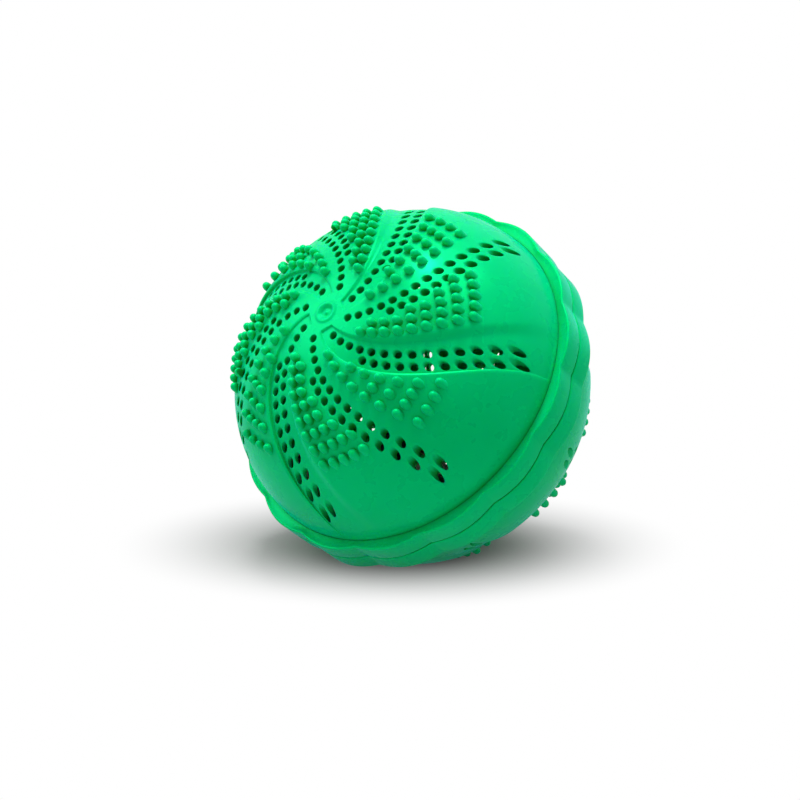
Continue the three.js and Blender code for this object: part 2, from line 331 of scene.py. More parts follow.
# %% Rows and columns of the shell
HUB_ROWS = 31
HUB_REACH = 6.2
OUTSIDE_ROWS = 68
INSIDE_ROWS = 26
NEAR_WALL = np.array([0, 0.1, 0.2, 0.3, 0.42, 0.56, 0.72, 0.9, 1.15, 1.45, 1.8, 2.2, 2.7, 3.3, 4.0, 4.9])
BEFORE_WALL = np.array([5.0, 4.2, 3.5, 2.9, 2.4, 2.0, 1.65, 1.35, 1.1, 0.86, 0.65, 0.46, 0.3, 0.15])
OPEN_COLUMNS = 84
CURVE_SAMPLES = 2000
POLE_GAP = 0.4
GROOVE_DEPTH = 2.4
FOOT_WALL = 1.6
FOOT_HEIGHT = 7.0
FLANGE_REACH = 0.9
FLANGE_HEIGHT = 1.0
FOOT_RADIUS = dome_edge - GROOVE_DEPTH
FOOT_INNER = FOOT_RADIUS - FOOT_WALL
FLANGE_RADIUS = FOOT_RADIUS + FLANGE_REACH
FLANGE_TOP = SEAM + FLANGE_HEIGHT

open_part = np.linspace(NEAR_WALL[-1], QUARTER - BEFORE_WALL[0], OPEN_COLUMNS + 2)[1:-1]
one_quarter = np.concatenate([NEAR_WALL, open_part, QUARTER - BEFORE_WALL])
past_walls = (one_quarter[None, :] + QUARTER * np.arange(QUARTERS)[:, None]).ravel()


def even_radii(start, stop, count, inset):
    """Radii from start to stop, evenly spaced along the dome's curve instead of along the radius."""
    fine = start + (stop - start) * np.sin(np.linspace(0.0, np.pi / 2.0, CURVE_SAMPLES))
    length = np.hypot(np.diff(fine), np.diff(dome_height(fine, inset)))
    along = np.concatenate([[0.0], np.cumsum(length)])
    return np.interp(np.linspace(0.0, along[-1], count), along, fine)


hub_radii = np.linspace(HUB_REACH / HUB_ROWS, HUB_REACH, HUB_ROWS)
outer_radii = np.concatenate([hub_radii, even_radii(HUB_REACH, dome_edge, OUTSIDE_ROWS, 0.0)[1:]])
inner_edge = float(dome_radius(FOOT_HEIGHT, WALL))
inner_radii = even_radii(POLE_GAP, inner_edge, INSIDE_ROWS, WALL)[::-1]
foot = np.array(
    [
        [FOOT_RADIUS, SHOULDER],
        [FOOT_RADIUS, FLANGE_TOP],
        [FLANGE_RADIUS, FLANGE_TOP],
        [FLANGE_RADIUS, SEAM],
        [FOOT_INNER, SEAM],
        [FOOT_INNER, FOOT_HEIGHT],
    ]
)
print("columns:", past_walls.size, "rows:", outer_radii.size + len(foot) + inner_radii.size)


# %% The shell
def polar(r, bearing, z):
    """Points from radius, bearing in degrees and height, turned by the pattern's own turn."""
    angle = np.radians(bearing + PATTERN_TURN)
    return np.stack([r * np.cos(angle), r * np.sin(angle), z + 0.0 * r], axis=-1)


outer_r = outer_radii[:, None] + 0.0 * past_walls[None, :]
outer_bearing = swept(WALL_LINE, outer_r) + past_walls[None, :]
outside = polar(outer_r, outer_bearing, surface_height(outer_r, outer_bearing))
lower = np.concatenate([foot, np.stack([inner_radii, dome_height(inner_radii, WALL)], axis=-1)])
edge_bearing = swept(WALL_LINE, dome_edge) + past_walls
lower_part = polar(lower[:, :1] + 0.0 * edge_bearing, edge_bearing + 0.0 * lower[:, :1], lower[:, 1:])
rings = np.concatenate([outside, lower_part])
poles = np.array([[0.0, 0.0, surface_height(0.0, 0.0)], [0.0, 0.0, DOME_HEIGHT - WALL]])
shell_points = np.concatenate([rings.reshape(-1, 3), poles])

columns = past_walls.size
first = np.arange(columns)
following = (first + 1) % columns
last_row = (len(rings) - 1) * columns
outer_pole = np.full(columns, len(shell_points) - 2)
inner_pole = np.full(columns, len(shell_points) - 1)
outer_cap = np.stack([outer_pole, first, following], axis=-1)
inner_cap = np.stack([last_row + first, inner_pole, last_row + following], axis=-1)
shell = made("shell", shell_points, [ring_quads(len(rings), columns), outer_cap, inner_cap])
print("shell points:", len(shell_points))

# %% [markdown]
# ## Studs
# The studs that scrub the washing are small pegs with round tops. They stand parallel to the axis, in a
# dense and a sparse patch beside each channel, set out in slanting arcs that grow longer towards the rim.
# One peg is a few rings of points; broadcasting adds every place at once.

# %% Where the studs stand
DENSE_COUNTS = np.array([1, 2, 2, 2, 3, 3, 4, 5, 5])
DENSE_LINE = (-71.75, 12.91, 0.0)
DENSE_START = (13.7, 2.87)
DENSE_ROUND = (2.107, 0.125)
DENSE_INWARDS = (1.615, -0.175)
SPARSE_COUNTS = np.array([1, 1, 2, 2, 3, 3, 4, 4])
SPARSE_START = (12.83, 3.487)
SPARSE_FIRST = (-82.62, 1.132)
SPARSE_LAST = (-81.74, 1.562)
SPARSE_INWARDS = (0.754, 0.098)


def arcs_and_steps(counts):
    """For each stud of a patch, the number of its arc and its own number along that arc."""
    arc = np.repeat(np.arange(counts.size), counts)
    step = np.arange(arc.size) - np.repeat(np.cumsum(counts) - counts, counts)
    return arc, step


def straight(line, value):
    """A straight line: first + slope value."""
    first_value, slope = line
    return first_value + slope * value


def dense_patch():
    """Each arc starts on a swept line beside the channel's ramp, and each of its studs lies a step further
    round and a step further in. The start and both steps change evenly from arc to arc."""
    arc, step = arcs_and_steps(DENSE_COUNTS)
    start = straight(DENSE_START, arc)
    bearing = swept(DENSE_LINE, start) + np.degrees(straight(DENSE_ROUND, arc) * step / start)
    return start - straight(DENSE_INWARDS, arc) * step, bearing


def sparse_patch():
    """Each arc spreads evenly between two bearings that grow with its starting radius, and its last stud
    lies a little further in. The start and that drop change evenly from arc to arc."""
    arc, step = arcs_and_steps(SPARSE_COUNTS)
    share = step / np.maximum(SPARSE_COUNTS[arc] - 1, 1)
    start = straight(SPARSE_START, arc)
    low = straight(SPARSE_FIRST, start)
    high = straight(SPARSE_LAST, start)
    return start - straight(SPARSE_INWARDS, arc) * share, low + share * (high - low)


def all_round(r, bearing, times):
    """The same places in each of several equal parts of a turn."""
    turns = (360.0 / times) * np.arange(times)[:, None]
    return np.tile(r, times), (bearing[None, :] + turns).ravel()


patches = [all_round(*dense_patch(), QUARTERS), all_round(*sparse_patch(), QUARTERS)]
stud_r, stud_bearing = np.concatenate(patches, axis=-1)
print("studs on each dome:", stud_r.size)

# %% The studs
STUD_SIDES = 12
STUD_RADIUS = 1.14
STUD_HEIGHT = 2.25
STUD_ROOT = 1.8
STUD_CAP = 1.4
STUD_FLARE = 1.1
CAP_TURNS = np.radians([25.0, 48.0, 69.0])
stem_profile = np.array([[STUD_FLARE, -STUD_ROOT], [1.0, STUD_HEIGHT - STUD_CAP]])
cap_z = STUD_HEIGHT - STUD_CAP + STUD_CAP * np.sin(CAP_TURNS)
stud_profile = np.concatenate([stem_profile, np.stack([np.cos(CAP_TURNS), cap_z], axis=-1)])


def turned_pegs(centres, profile, sides):
    """Rings of points (x + R cos a, y + R sin a, z + h) about the centre (x, y, z) of each peg."""
    angle = 2.0 * np.pi * np.arange(sides) / sides
    x = profile[:, :1] * np.cos(angle)
    y = profile[:, :1] * np.sin(angle)
    z = profile[:, 1:] + 0.0 * angle
    ring = np.stack([x, y, z], axis=-1).reshape(-1, 3)
    return centres[:, None, :] + ring[None]


stud_places = polar(stud_r, stud_bearing, dome_height(stud_r))
scaled_profile = stud_profile * np.array([STUD_RADIUS, 1.0])
stud_rings = turned_pegs(stud_places, scaled_profile, STUD_SIDES)
stud_tops = stud_places[:, None, :] + np.array([0.0, 0.0, STUD_HEIGHT])
stud_points = np.concatenate([stud_rings, stud_tops], axis=1)
peg_points = stud_points.shape[1]
side = np.arange(STUD_SIDES)
next_side = (side + 1) % STUD_SIDES
top_row = (len(stud_profile) - 1) * STUD_SIDES
peg_walls = ring_quads(len(stud_profile), STUD_SIDES)[:, ::-1]
peg_cap = np.stack([top_row + side, top_row + next_side, np.full(STUD_SIDES, peg_points - 1)], axis=-1)
peg_foot = side[::-1][None, :]
stud_faces = [repeated(part, stud_r.size, peg_points) for part in (peg_walls, peg_cap, peg_foot)]
studs = made("studs", stud_points, stud_faces)

# %% [markdown]
# ## Holes
# Each arm carries a long and a short row of round holes, formed by pins parallel to the axis, which is why
# the outer ones look like long ovals on the steep side. Towards the rim the pins are also a little longer
# than wide. They taper, so that they leave the mould, and a hole widens inwards. Just at the surface a
# cutter flares, so that every hole gets a narrow bevelled lip.

# %% Where the holes are
ARMS = 8
HOLE_RADIUS = 1.05
HOLE_STRETCH = 0.25
PIN_TAPER = 0.25
LIP = 0.14
LIP_DEPTH = 0.16
HOLE_SIDES = 16
LONG_ROW = (14, 7.45, 2.74)
LONG_LINE = (-105.84, 18.85, 0.403)
SHORT_ROW = (11, 18.28, 2.55)
SHORT_LINE = (-116.45, 18.01, 0.136)


def row_places(row, line):
    """Radii and bearings of a row of holes on a swept line: hole i lies at start + pitch i."""
    count, start, pitch = row
    r = start + pitch * np.arange(count)
    return r, swept(line, r)


arm_rows = [row_places(LONG_ROW, LONG_LINE), row_places(SHORT_ROW, SHORT_LINE)]
hole_r, hole_bearing = all_round(*np.concatenate(arm_rows, axis=-1), ARMS)
print("holes in each dome:", hole_r.size)

# %% The hole cutters
CUT_ABOVE = 2.5
DRILLED_WALLS = 3.0
FOOT_MARGIN = 1.0
hole_xy = polar(hole_r, hole_bearing, 0.0)
hole_angle = 2.0 * np.pi * np.arange(HOLE_SIDES) / HOLE_SIDES
around = np.stack([np.cos(hole_angle), np.sin(hole_angle), 0.0 * hole_angle], axis=-1)
outwards = (hole_xy / hole_r[:, None])[:, None, :]
extra = HOLE_STRETCH * (hole_r / DOME_RADIUS) ** 2
along = (around * outwards).sum(axis=-1)
hole_shape = around + (extra[:, None] * along)[..., None] * outwards


def cutter_ring(radius, drop):
    """A ring round each hole that follows the relief: height of the surface at each point, less a drop."""
    ring = hole_xy[:, None, :] + radius * hole_shape
    r = np.hypot(ring[..., 0], ring[..., 1])
    bearing = np.degrees(np.arctan2(ring[..., 1], ring[..., 0])) - PATTERN_TURN
    ring[..., 2] = surface_height(r, bearing) - drop
    return ring


def level_ring(radius, height):
    """A level ring round each hole at the hole's own height."""
    ring = hole_xy[:, None, :] + radius * hole_shape
    ring[..., 2] = height[:, None]
    return ring


hole_reach = HOLE_RADIUS * (1.0 + extra)
cut_top = dome_height(hole_r - hole_reach) + CUT_ABOVE
drilled = dome_height(hole_r + hole_reach) - DRILLED_WALLS * WALL
cut_bottom = np.maximum(drilled, FOOT_HEIGHT + FOOT_MARGIN)
cutter_points = np.stack(
    [
        level_ring(HOLE_RADIUS + LIP, cut_top),
        cutter_ring(HOLE_RADIUS + LIP, 0.0),
        cutter_ring(HOLE_RADIUS, LIP_DEPTH),
        level_ring(HOLE_RADIUS + PIN_TAPER, cut_bottom),
    ],
    axis=1,
)
cutter_rings = cutter_points.shape[1]
cutter_corners = cutter_rings * HOLE_SIDES
cutter_walls = ring_quads(cutter_rings, HOLE_SIDES)
cutter_top = np.arange(HOLE_SIDES)[None, :]
cutter_foot = (cutter_corners - HOLE_SIDES + np.arange(HOLE_SIDES))[::-1][None, :]
cutter_parts = (cutter_walls, cutter_top, cutter_foot)
cutter_faces = [repeated(part, hole_r.size, cutter_corners) for part in cutter_parts]
hole_cutters = made("hole_cutters", cutter_points, cutter_faces)

# %% [markdown]
# ## The two domes
# Blender's Boolean modifier joins the studs to the shell and cuts the holes, so a dome ends up as one
# closed body. Both halves of the ball come from the same mould: the rear dome is the front one turned
# over about a line in the seam plane, through a crest of the rim.

# %% Front and rear dome
VALLEY_ANGLE = 10.175
LOBES = 16
LOBE_TURN = 360.0 / LOBES
flip_angle = np.radians(VALLEY_ANGLE + LOBE_TURN / 2.0)
flip_line = np.array([np.cos(flip_angle), np.sin(flip_angle), 0.0])


def turned_over(points):
    """Half a turn about the flip line: p becomes 2 (p . line) line - p."""
    return 2.0 * (points @ flip_line)[..., None] * flip_line - points


def points_of(mesh):
    """All vertex positions of a mesh as an array."""
    flat = np.zeros(3 * len(mesh.vertices))
    mesh.vertices.foreach_get("co", flat)
    return flat.reshape(-1, 3)


def moved(mesh, points):
    """The mesh with its vertices at new positions."""
    mesh.vertices.foreach_set("co", points.astype(np.float32).ravel())
    mesh.update()
    return mesh


front_mesh = combined("front_dome_shell", shell, [(studs, "UNION"), (hole_cutters, "DIFFERENCE")])
upright = points_of(front_mesh)
rear_mesh = moved(front_mesh.copy(), in_room(turned_over(upright)))
rear_mesh.name = "rear_dome_shell"
moved(front_mesh, in_room(upright))
front_dome = placed("front_dome_shell", front_mesh, "front_half", "front_dome")
rear_dome = placed("rear_dome_shell", rear_mesh, "rear_half", "rear_dome")

# %% [markdown]
# ## The scalloped bands
# Each dome is held in a band whose outside waves in and out in sixteen lobes, so wet fingers can turn it.
# The wave is the size of a sine, which gives broad crests and narrow valleys. A band is its cross-section
# carried round the axis: a front face hollowed like a gutter, a rounded crest, the outer wall, the seam
# face, and the stepped bore inside.

# %% Cross-section of a band
RIM_RADIUS = 50.0
LOBE_DEPTH = 1.2
CLEARANCE = 0.3
EDGE_ROUND = 0.35
SEAM_ROUND = 0.45
LIP_GAP = 0.1
GUTTER_FLOOR = 5.45
GUTTER_STEPS = 8
EDGE_STEPS = 6
SEAM_STEPS = 4
BAND_COLUMNS = 384
CREST_RISE = 0.1
BAND_CREST = BAND_TOP + CREST_RISE
LIP_INNER = dome_edge + LIP_GAP
LEDGE_BOTTOM = FLANGE_TOP + CLEARANCE


def quarter_round(radius, steps):
    """Offsets (inwards, along) round a quarter circle from a face to the wall beside it."""
    turn = np.linspace(0.0, np.pi / 2.0, steps)
    return radius * (1.0 - np.sin(turn)), radius * (1.0 - np.cos(turn))


band_angle = 2.0 * np.pi * np.arange(BAND_COLUMNS) / BAND_COLUMNS
crest = np.abs(np.sin(0.5 * LOBES * (band_angle - np.radians(VALLEY_ANGLE))))
rim = RIM_RADIUS - LOBE_DEPTH * (1.0 - crest)

top_in, top_down = quarter_round(EDGE_ROUND, EDGE_STEPS)
seam_in, seam_up = quarter_round(SEAM_ROUND, SEAM_STEPS)
side_r = np.concatenate([rim[None] - top_in[:, None], rim[None] - seam_in[::-1, None]])
side_z = np.concatenate([BAND_CREST - top_down, SEAM + seam_up[::-1]])
bore = np.array(
    [
        [FLANGE_RADIUS + CLEARANCE, SEAM],
        [FLANGE_RADIUS + CLEARANCE, LEDGE_BOTTOM],
        [FOOT_RADIUS + CLEARANCE, LEDGE_BOTTOM],
        [FOOT_RADIUS + CLEARANCE, SHOULDER - CLEARANCE],
        [LIP_INNER, SHOULDER - CLEARANCE],
        [LIP_INNER, GUTTER_FLOOR],
    ]
)
share = np.linspace(0.0, 1.0, GUTTER_STEPS)[1:-1]
gutter_r = LIP_INNER + share[:, None] * (rim - EDGE_ROUND - LIP_INNER)
gutter_z = GUTTER_FLOOR + (BAND_CREST - GUTTER_FLOOR) * share**2
band_r = np.concatenate([side_r, bore[:, :1] + 0.0 * rim, gutter_r])
band_z = np.concatenate([side_z, bore[:, 1], gutter_z])[:, None] + 0.0 * rim
band_points = np.stack([band_r * np.cos(band_angle), band_r * np.sin(band_angle), band_z], axis=-1)
band_faces = ring_quads(len(band_points), BAND_COLUMNS, wrap_rows=True)
print("band grid:", band_points.shape)

# %% [markdown]
# ## The bayonet
# Four hooked tabs stand on the rear band and slip into pockets of the front band. A turn of one lobe slides
# the hooks over a ledge and locks the ball. Tabs and pockets are blocks between two radii, two angles and
# two heights, joined to one band and cut from the other. No two blocks share a face, because a Boolean
# can leave loose slivers there. So the ways of stem and hook start inside the entry and end apart, and
# the hooks are tucked a hair inside the faces of their stems.

# %% Blocks for tabs and pockets
TABS = 4
TAB_ANGLE = 8.0
HOOK_REACH = 1.1
HOOK_HEIGHT = 1.1
STEM_WALL = 0.8
LEDGE_HEIGHT = 1.2
OVERCUT = 1.0
BLOCK_STEPS = 12
TUCK = 0.075
ledge_top = LEDGE_BOTTOM + LEDGE_HEIGHT
hook_bottom = ledge_top + CLEARANCE
hook_top = hook_bottom + HOOK_HEIGHT
hook_inner = FLANGE_RADIUS + CLEARANCE
stem_inner = hook_inner + HOOK_REACH
stem_outer = stem_inner + STEM_WALL
pocket_outer = stem_outer + CLEARANCE
slack = np.degrees(CLEARANCE / hook_inner)


def block(name, inner, outer, low, high, bottom, top):
    """A rectangle of radii and heights carried round an arc, once at each of the four tabs."""
    section = np.array([[inner, top], [outer, top], [outer, bottom], [inner, bottom]])
    arc = np.radians(VALLEY_ANGLE + np.linspace(low, high, BLOCK_STEPS))
    turns = (2.0 * np.pi / TABS) * np.arange(TABS)[:, None, None]
    angle = turns + arc[None, :, None]
    r = section[:, 0]
    z = section[:, 1] + 0.0 * angle
    points = np.stack([r * np.cos(angle), r * np.sin(angle), z], axis=-1)
    count = len(section)
    start = count * np.arange(BLOCK_STEPS - 1)[:, None]
    corner = np.arange(count)
    turned = (corner + 1) % count
    corners = [start + corner, start + turned, start + count + turned, start + count + corner]
    sides = np.stack(corners, axis=-1).reshape(-1, len(corners))
    ends = np.stack([corner[::-1], count * (BLOCK_STEPS - 1) + corner])
    faces = [repeated(part, TABS, count * BLOCK_STEPS) for part in (sides, ends)]
    return made(name, points, faces)


entry_end = TAB_ANGLE + slack
way_start = TAB_ANGLE / 2.0
lock_end = entry_end + LOBE_TURN
roof = hook_top + CLEARANCE
below = SEAM - OVERCUT
pockets = [
    block("entry", FLANGE_RADIUS, pocket_outer, -slack, entry_end, below, roof),
    block("stem_way", stem_inner - CLEARANCE, pocket_outer, way_start, lock_end, below, hook_top),
    block("hook_way", FLANGE_RADIUS, pocket_outer, way_start, lock_end + slack, ledge_top, roof),
]
tabs = [
    block("stems", stem_inner, stem_outer, 0.0, TAB_ANGLE, -LEDGE_BOTTOM, hook_top),
    block("hooks", hook_inner, stem_outer - TUCK, TUCK, TAB_ANGLE - TUCK, hook_bottom, hook_top - TUCK),
]
print("pocket blocks:", len(pockets), "tab blocks:", len(tabs))

# %% The locking band and the base band
front_ring = made("front_ring", band_points, [band_faces])
lock_mesh = combined("locking_band_rim", front_ring, [(part, "DIFFERENCE") for part in pockets])
moved(lock_mesh, in_room(points_of(lock_mesh)))
locking_band = placed("locking_band_rim", lock_mesh, "lock_ring", "locking_band")

rear_ring = made("rear_ring", turned_over(band_points), [band_faces])
base_mesh = combined("base_band_rim", rear_ring, [(part, "UNION") for part in tabs])
moved(base_mesh, in_room(points_of(base_mesh)))
base_band = placed("base_band_rim", base_mesh, "rear_half", "base_band")

# %% [markdown]
# ## The beads
# The charge is a handful of fired clay beads in four colours. Rolled by hand or tumbled, they are never
# quite round, so each is a sphere whose radius swells and dips a little with a few waves of its own phase.

# %% Lumpy beads
BEAD_ROWS = 15
BEAD_COLUMNS = 24
BEAD_SWELL = 0.018
PHASE_STEP = 1.7
bead_nodes = sorted(name for name in frame["nodes"] if name.startswith("bead_"))


def lumpy_ball(radius, phase):
    """Radius R (1 + s (sin(3x + f) + sin(4y + 2f) + sin(5z + 3f)) / 3) over a sphere of directions."""
    tilt = np.pi * (np.arange(BEAD_ROWS) + 0.5)[:, None] / BEAD_ROWS
    turn = 2.0 * np.pi * np.arange(BEAD_COLUMNS)[None, :] / BEAD_COLUMNS
    rows = [np.sin(tilt) * np.cos(turn), np.sin(tilt) * np.sin(turn), np.cos(tilt) + 0.0 * turn]
    directions = np.stack(rows, axis=-1).reshape(-1, 3)
    directions = np.concatenate([directions, [[0.0, 0.0, 1.0], [0.0, 0.0, -1.0]]])
    x, y, z = directions.T
    waves = np.sin(3.0 * x + phase) + np.sin(4.0 * y + 2.0 * phase) + np.sin(5.0 * z + 3.0 * phase)
    return directions * (radius * (1.0 + BEAD_SWELL * waves / 3.0))[:, None]


spot = np.arange(BEAD_COLUMNS)
next_spot = (spot + 1) % BEAD_COLUMNS
last_spots = (BEAD_ROWS - 1) * BEAD_COLUMNS
bead_corners = BEAD_ROWS * BEAD_COLUMNS
top_pole = np.full(BEAD_COLUMNS, bead_corners)
top_fan = np.stack([top_pole, spot, next_spot], axis=-1)
foot_fan = np.stack([last_spots + spot, top_pole + 1, last_spots + next_spot], axis=-1)
bead_faces = [ring_quads(BEAD_ROWS, BEAD_COLUMNS), top_fan, foot_fan]
beads = {}
for index, node in enumerate(bead_nodes):
    low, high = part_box(node)
    radius = (high.x - low.x) / 2.0
    centre = np.array((low + high) / 2.0)
    bead = made(node + "_ball", centre + lumpy_ball(radius, PHASE_STEP * index), bead_faces)
    smoothed(bead.data)
    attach(bead, "rear_half")
    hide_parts(node)
    kind = "_".join(node.split("_")[:2])
    beads.setdefault(kind, []).append(bead)
print("beads:", {kind: len(some) for kind, some in beads.items()})

# %% [markdown]
# ## Green plastic
# The shells are moulded in one bright mint green, with a satin gloss and a faint grain from the mould. A
# soft cloud of noise varies the colour by a few hundredths, a finer one varies the gloss, and the finest
# gives the grain as bump. A little light passes under the skin of the thin walls. Between the studs light
# bounces from green to green and loses its blue. That shade and bounce light are painted into the colour:
# the Ambient Occlusion node, which tells how much of the space near a point is open, turns the colour
# deeper and yellower in crevices as painted shade.


# %% The plastic's nodes
def new_material(name):
    """A material and its emptied node tree."""
    material = bpy.data.materials.new(name)
    material.use_nodes = True
    tree = material.node_tree
    tree.nodes.clear()
    return material, tree


def noise(tree, coordinates, scale, detail):
    """A cloud of noise on Object coordinates; scale counts features to the metre."""
    cloud = tree.nodes.new("ShaderNodeTexNoise")
    cloud.inputs["Scale"].default_value = scale
    cloud.inputs["Detail"].default_value = detail
    tree.links.new(coordinates.outputs["Object"], cloud.inputs["Vector"])
    return cloud


def ramp(tree, source, stops, colours):
    """A colour ramp over a noise value, between two colours at two stops."""
    node = tree.nodes.new("ShaderNodeValToRGB")
    for element, position, colour in zip(node.color_ramp.elements, stops, colours):
        element.position = position
        element.color = (*colour, 1.0)
    tree.links.new(source.outputs["Fac"], node.inputs["Fac"])
    return node


def spread(tree, source, low, high):
    """The noise value stretched to lie between low and high."""
    node = tree.nodes.new("ShaderNodeMapRange")
    node.inputs["To Min"].default_value = low
    node.inputs["To Max"].default_value = high
    tree.links.new(source.outputs["Fac"], node.inputs["Value"])
    return node


def grain(tree, source, strength, distance):
    """Bump from a noise value."""
    node = tree.nodes.new("ShaderNodeBump")
    node.inputs["Strength"].default_value = strength
    node.inputs["Distance"].default_value = distance
    tree.links.new(source.outputs["Fac"], node.inputs["Height"])
    return node


def surface(tree):
    """The shader and its output."""
    shader = tree.nodes.new("ShaderNodeBsdfPrincipled")
    output = tree.nodes.new("ShaderNodeOutputMaterial")
    tree.links.new(shader.outputs["BSDF"], output.inputs["Surface"])
    return shader


GREEN_DEEP = (0.0, 0.585, 0.178)
GREEN_BRIGHT = (0.001, 0.665, 0.215)
# Painted shade: a deeper, yellower green put into the colour in crevices, with its reach and openness
# range.
GREEN_PAINTED_SHADE = (0.008, 0.36, 0.018, 1.0)
TINT_CLOUD = (30.0, 3.0)
TINT_STOPS = (0.3, 0.7)
PAINTED_SHADE_REACH = 0.003
PAINTED_SHADE_OPEN = (0.3, 0.75)
PAINTED_SHADE_SAMPLES = 8
GLOSS_CLOUD = (160.0, 4.0)
GLOSS_RANGE = (0.25, 0.3)
SKIN_CLOUD = (2600.0, 2.0)
SKIN_BUMP = (0.04, 0.00005)
PLASTIC = {
    "IOR": 1.47,
    "Specular IOR Level": 0.02,
    "Specular Tint": (0.08, 1.0, 0.55, 1.0),
    "Metallic": 0.12,
    "Subsurface Weight": 0.85,
    "Subsurface Radius": (0.05, 1.0, 0.12),
    "Subsurface Scale": 0.001,
    "Sheen Weight": 0.8,
    "Sheen Roughness": 0.4,
    "Sheen Tint": (0.0, 0.75, 0.65, 1.0),
}


def mint_plastic():
    """Satin mint green: cloudy colour, deepened in crevices by painted shade, uneven gloss, fine mould
    grain, light under the skin and a faint bloom at the edges."""
    material, tree = new_material("mint_plastic")
    coordinates = tree.nodes.new("ShaderNodeTexCoord")
    shader = surface(tree)
    greens = (GREEN_DEEP, GREEN_BRIGHT)
    tint = ramp(tree, noise(tree, coordinates, *TINT_CLOUD), TINT_STOPS, greens)
    # Painted shade: where the Ambient Occlusion node finds the space near a point closed, the colour turns
    # deeper and yellower.
    painted_shade_occlusion = tree.nodes.new("ShaderNodeAmbientOcclusion")
    painted_shade_occlusion.samples = PAINTED_SHADE_SAMPLES
    painted_shade_occlusion.inputs["Distance"].default_value = PAINTED_SHADE_REACH
    painted_shade_openness = tree.nodes.new("ShaderNodeMapRange")
    painted_shade_openness.inputs["From Min"].default_value = PAINTED_SHADE_OPEN[0]
    painted_shade_openness.inputs["From Max"].default_value = PAINTED_SHADE_OPEN[1]
    tree.links.new(painted_shade_occlusion.outputs["AO"], painted_shade_openness.inputs["Value"])
    colour = tree.nodes.new("ShaderNodeMix")
    colour.data_type = "RGBA"
    colour.inputs["A"].default_value = GREEN_PAINTED_SHADE
    tree.links.new(painted_shade_openness.outputs["Result"], colour.inputs["Factor"])
    tree.links.new(tint.outputs["Color"], colour.inputs["B"])
    gloss = spread(tree, noise(tree, coordinates, *GLOSS_CLOUD), *GLOSS_RANGE)
    skin = grain(tree, noise(tree, coordinates, *SKIN_CLOUD), *SKIN_BUMP)
    tree.links.new(colour.outputs["Result"], shader.inputs["Base Color"])
    tree.links.new(gloss.outputs["Result"], shader.inputs["Roughness"])
    tree.links.new(skin.outputs["Normal"], shader.inputs["Normal"])
    for socket, value in PLASTIC.items():
        shader.inputs[socket].default_value = value
    return material


mint = mint_plastic()
green_pieces = (front_dome, rear_dome, locking_band, base_band)
# A Boolean leaves an empty material slot on its mesh, which has to go before the plastic comes.
for piece in green_pieces:
    piece.data.materials.clear()
    piece.data.materials.append(mint)
print("green pieces:", len(green_pieces))

# %% [markdown]
# ## Fired clay
# The beads are unglazed: a chalky body with darker and paler specks and a dry, slightly pitted skin. One
# recipe serves all four clays, with two colours for each.

# %% The clay's nodes
CLAYS = {
    "bead_red": ((0.30, 0.10, 0.05), (0.42, 0.17, 0.09)),
    "bead_grey": ((0.22, 0.23, 0.21), (0.33, 0.34, 0.31)),
    "bead_ivory": ((0.62, 0.56, 0.44), (0.78, 0.73, 0.62)),
    "bead_dark": ((0.030, 0.026, 0.022), (0.065, 0.058, 0.050)),
}
SPECK_CLOUD = (900.0, 6.0)
SPECK_STOPS = (0.38, 0.58)
DRY_CLOUD = (500.0, 3.0)
DRY_RANGE = (0.62, 0.85)
PIT_CLOUD = (1800.0, 4.0)
PIT_BUMP = (0.35, 0.0002)


def fired_clay(name, tones):
    """Chalky clay: specks of two tones, dry gloss and small pits."""
    material, tree = new_material(name)
    coordinates = tree.nodes.new("ShaderNodeTexCoord")
    shader = surface(tree)
    specks = ramp(tree, noise(tree, coordinates, *SPECK_CLOUD), SPECK_STOPS, tones)
    dryness = spread(tree, noise(tree, coordinates, *DRY_CLOUD), *DRY_RANGE)
    pits = grain(tree, noise(tree, coordinates, *PIT_CLOUD), *PIT_BUMP)
    tree.links.new(specks.outputs["Color"], shader.inputs["Base Color"])
    tree.links.new(dryness.outputs["Result"], shader.inputs["Roughness"])
    tree.links.new(pits.outputs["Normal"], shader.inputs["Normal"])
    return material


for kind, some in beads.items():
    clay = fired_clay(kind + "_clay", CLAYS[kind])
    for bead in some:
        bead.data.materials.append(clay)
print("clays:", len(CLAYS))

# %% [markdown]
# ## Floor
# The photograph shows the ball on seamless white paper with a soft round shadow. The floor is a large disc
# under the lowest stud. Seen directly, the paper near the ball is painted darker than for bounced light, a
# painted shadow over the shadow that the lamps cast, and it fades to plain white light outside an oval, so
# no horizon shows. Light that bounces off the floor meets mid-grey paper, which keeps the underside of the
# ball dark.

# %% Seamless floor
FLOOR_REACH = 3.0
FLOOR_STEPS = 96
turn = 2.0 * np.pi * np.arange(FLOOR_STEPS) / FLOOR_STEPS
floor_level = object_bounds()[0].z
floor_rim = [FLOOR_REACH * np.cos(turn), FLOOR_REACH * np.sin(turn), floor_level + 0.0 * turn]
floor = made("paper_floor", np.stack(floor_rim, axis=-1), [np.arange(FLOOR_STEPS)[None, :]])
floor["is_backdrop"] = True
print("floor level:", round(floor_level, 5), "m")

# %% The paper's nodes
# Painted shadow: seen directly the paper is darker than for bounced light, and an oval fading to white
# light around a centre near the ball shapes that shadow.
PAPER_SEEN_PAINTED_SHADOW = (0.3, 0.3, 0.3, 1.0)
PAPER_BOUNCE = (0.48, 0.48, 0.48, 1.0)
SHADOW_FADE = (0.015, 0.065)
SHADOW_CENTRE = (-0.0134, 0.011, 0.0)
SHADOW_TURN = (0.0, 0.0, np.radians(40.0))
SHADOW_OVAL = (1.25, 1.0, 1.0)


